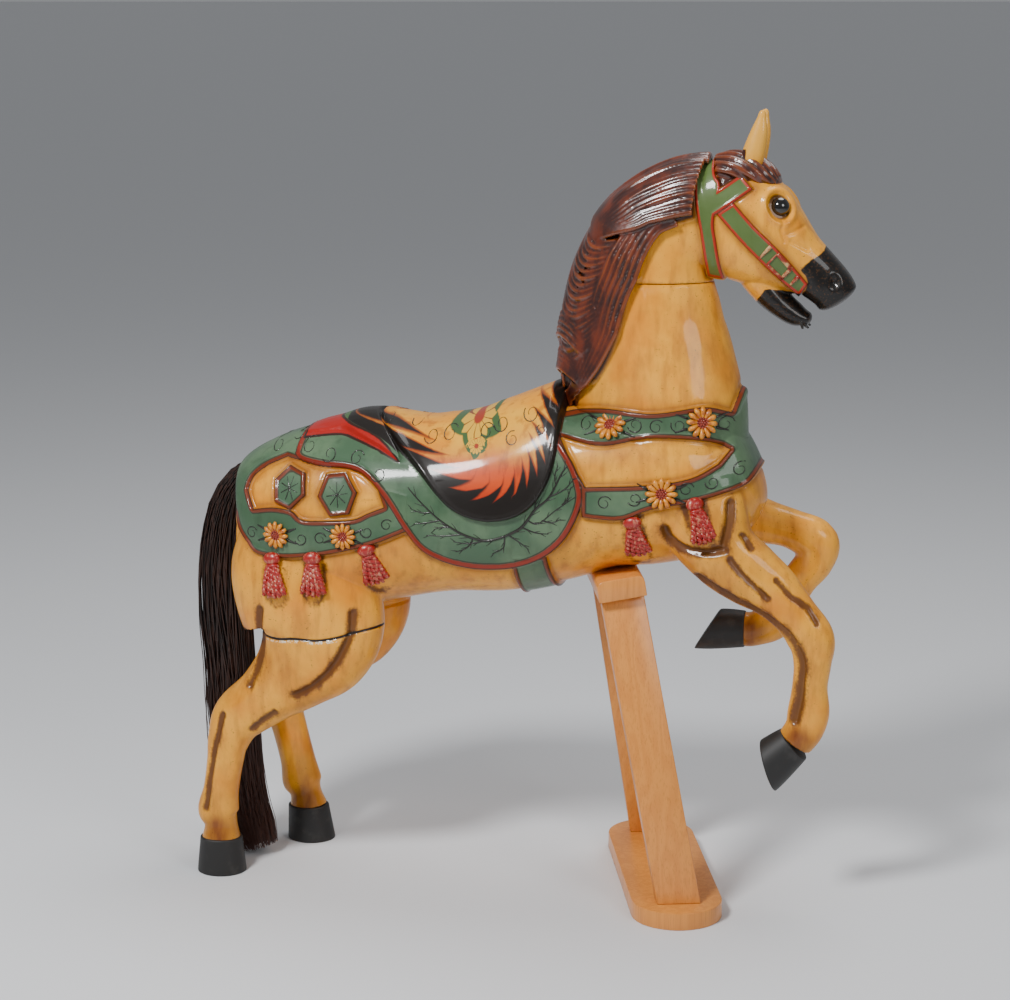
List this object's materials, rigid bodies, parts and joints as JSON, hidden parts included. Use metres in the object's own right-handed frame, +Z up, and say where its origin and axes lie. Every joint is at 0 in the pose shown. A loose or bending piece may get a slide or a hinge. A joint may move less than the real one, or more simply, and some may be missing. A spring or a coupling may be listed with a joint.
{
  "type": "carousel horse",
  "caption": "Carved and painted wooden carousel horse, prancing, with saddle, harness, glass eyes and a horsehair tail, on a loose pine trestle under its belly.",
  "frame": {"origin": "on the floor under the middle of the bounding box of horse, tail and trestle", "axes": "+X towards the horse's head, +Y to the horse's left, +Z up"},
  "size_m": [1.0622, 0.4476, 1.2616],
  "materials": {
    "painted_wood": "carved wood, oil painted and varnished, with age cracks",
    "eye_glass": "polished black glass",
    "horsehair": "long dark horsehair",
    "pine": "planed and lacquered pine"
  },
  "bodies": {
    "root": {"horse": "painted_wood", "eye_right": "eye_glass", "eye_left": "eye_glass", "tail": "horsehair", "stand_foot": "pine", "stand_post_right": "pine", "stand_post_left": "pine", "stand_block": "pine"}
  },
  "joints": []
}
